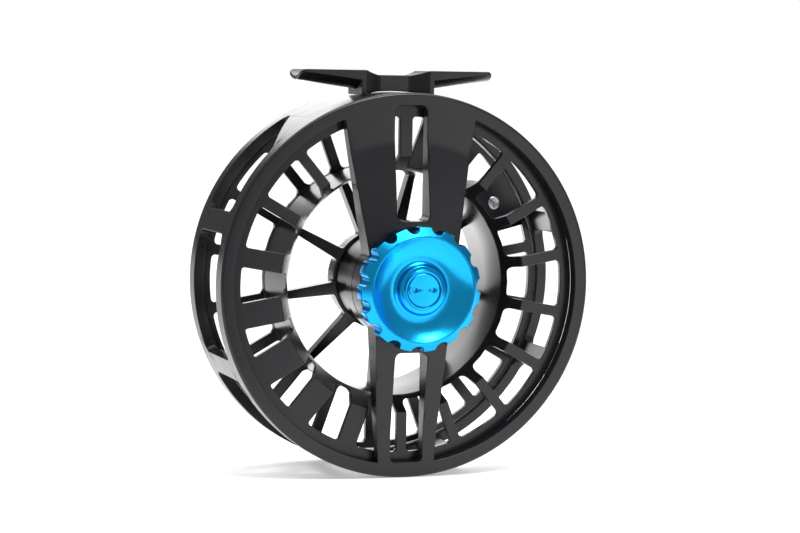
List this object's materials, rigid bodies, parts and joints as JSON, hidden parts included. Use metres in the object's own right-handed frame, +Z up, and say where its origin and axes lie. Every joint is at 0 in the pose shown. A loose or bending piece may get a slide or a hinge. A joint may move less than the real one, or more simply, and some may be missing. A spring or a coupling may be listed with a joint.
{
  "type": "fly reel",
  "caption": "Large-arbor fly fishing reel: ported frame on a rod foot, spoked spool with a crank handle, and a front knob that sets a sealed cone drag.",
  "frame": {"origin": "middle of the foot's concave seat, on the flat strip at its lowest line", "axes": "+Z up, out of the seat towards the rod; +X along the foot and the rod; +Y along the spin axis from the drag knob towards the crank handle"},
  "size_m": [0.114, 0.0736, 0.1206],
  "materials": {
    "anodised_black": "satin black anodised aluminium",
    "anodised_blue": "bright blue anodised aluminium",
    "steel": "turned and ground stainless steel",
    "brass": "turned brass",
    "rubber": "matt black rubber",
    "drag_polymer": "filled drag polymer",
    "handle_polymer": "satin black polymer"
  },
  "bodies": {
    "frame": {"frame_face": "anodised_black", "frame_cage": "anodised_black", "reel_foot": "anodised_black", "foot_screw_left": "steel", "foot_screw_right": "steel", "knob_seal_ring": "rubber", "click_ball": "steel", "click_spring": "steel", "drag_spring": "steel", "pressure_plate": "steel", "push_pin_1": "steel", "push_pin_2": "steel", "push_pin_3": "steel", "drag_cone": "drag_polymer", "spindle": "steel", "spindle_screw_1": "steel", "spindle_screw_2": "steel", "spindle_screw_3": "steel", "spindle_end_washer": "steel", "spindle_end_screw": "steel", "front_bearing_inner": "steel", "rear_bearing_inner": "steel"},
    "knob": {"drag_knob": "anodised_blue", "knob_cap": "anodised_blue", "knob_screw": "steel", "knob_circlip": "steel"},
    "nut": {"drag_nut": "brass"},
    "rotor": {"drag_rotor": "steel"},
    "hub": {"drive_hub": "steel", "hub_cap": "anodised_blue", "spool_snap_ring": "steel", "hub_seal_ring": "rubber", "clutch_cage": "brass", "front_bearing_outer": "steel", "rear_bearing_outer": "steel", "front_bearing_balls": "brass", "rear_bearing_balls": "brass", "clutch_roller_1": "steel", "clutch_roller_2": "steel", "clutch_roller_3": "steel", "clutch_roller_4": "steel", "clutch_roller_5": "steel", "clutch_roller_6": "steel", "clutch_roller_7": "steel", "clutch_roller_8": "steel"},
    "spool": {"spool_front_flange": "anodised_black", "spool_arbor": "anodised_black", "spool_back_flange": "anodised_black", "spool_spider": "anodised_black", "handle_stud": "steel", "handle_bush_front": "brass", "handle_bush_rear": "brass", "handle_end_screw": "steel"},
    "handle": {"handle_knob": "handle_polymer"}
  },
  "joints": [
    {"name": "knob_turn", "type": "hinge", "parent": "frame", "child": "knob", "pos_m": [0, -0.0197, -0.0616], "axis": [0, 1, 0], "range_deg": [0, 330]},
    {"name": "nut_travel", "type": "slide", "parent": "frame", "child": "nut", "axis": [0, 1, 0], "range_m": [0, 0.00095], "deforming": ["drag_spring"]},
    {"name": "rotor_spin", "type": "hinge", "parent": "frame", "child": "rotor", "pos_m": [0, -0.0197, -0.0616], "axis": [0, 1, 0], "continuous": true},
    {"name": "hub_spin", "type": "hinge", "parent": "frame", "child": "hub", "pos_m": [0, -0.0197, -0.0616], "axis": [0, 1, 0], "continuous": true},
    {"name": "spool_release", "type": "slide", "parent": "hub", "child": "spool", "axis": [0, 1, 0], "range_m": [0, 0.045]},
    {"name": "handle_spin", "type": "hinge", "parent": "spool", "child": "handle", "pos_m": [0.0394, 0.0303, -0.03885], "axis": [0, 1, 0], "continuous": true}
  ],
  "couplings": [
    {"joint": "nut_travel", "follows": "knob_turn", "m_per_rad": 0.00015915}
  ]
}
